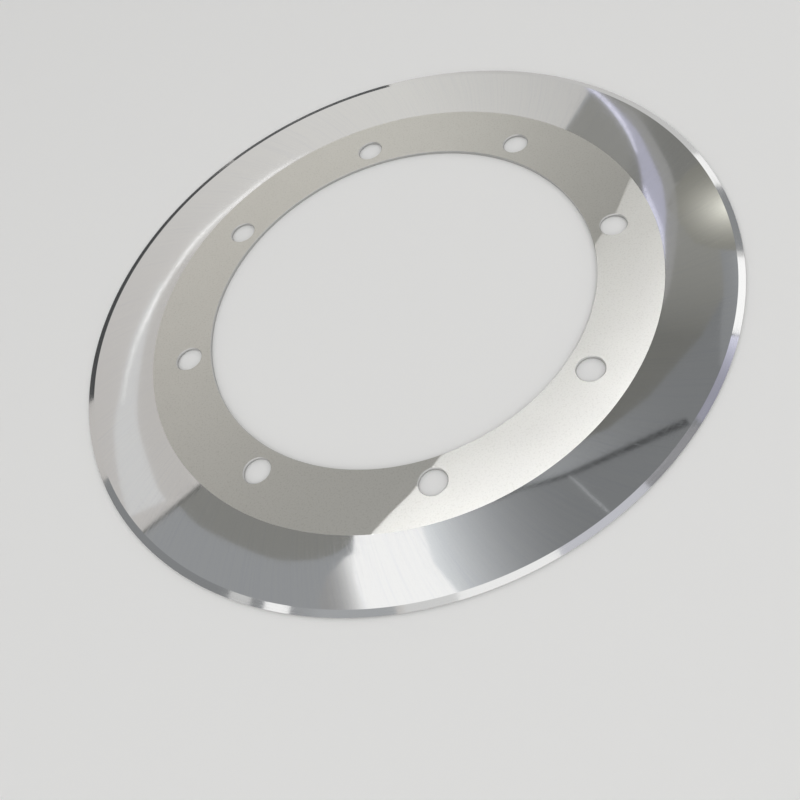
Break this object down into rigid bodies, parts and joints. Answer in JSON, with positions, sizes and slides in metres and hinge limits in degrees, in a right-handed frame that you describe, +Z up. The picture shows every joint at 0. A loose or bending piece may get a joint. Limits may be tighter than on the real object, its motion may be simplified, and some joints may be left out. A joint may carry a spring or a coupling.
{
  "type": "circular slitter knife",
  "caption": "Thin steel ring knife with a large bore and a circle of bolt holes, a shallow taper on both faces and a narrow double-bevelled cutting rim.",
  "frame": {"origin": "centre of the bore at the lower face, on which the knife lies", "axes": "+Z up along the bore's axis; +X through the centre of one bolt hole"},
  "size_m": [0.28, 0.28, 0.0015],
  "materials": {
    "ground_steel": "fine ground flat ring, lapped taper and honed edge"
  },
  "bodies": {
    "root": {"knife_disc": "ground_steel"}
  },
  "joints": []
}
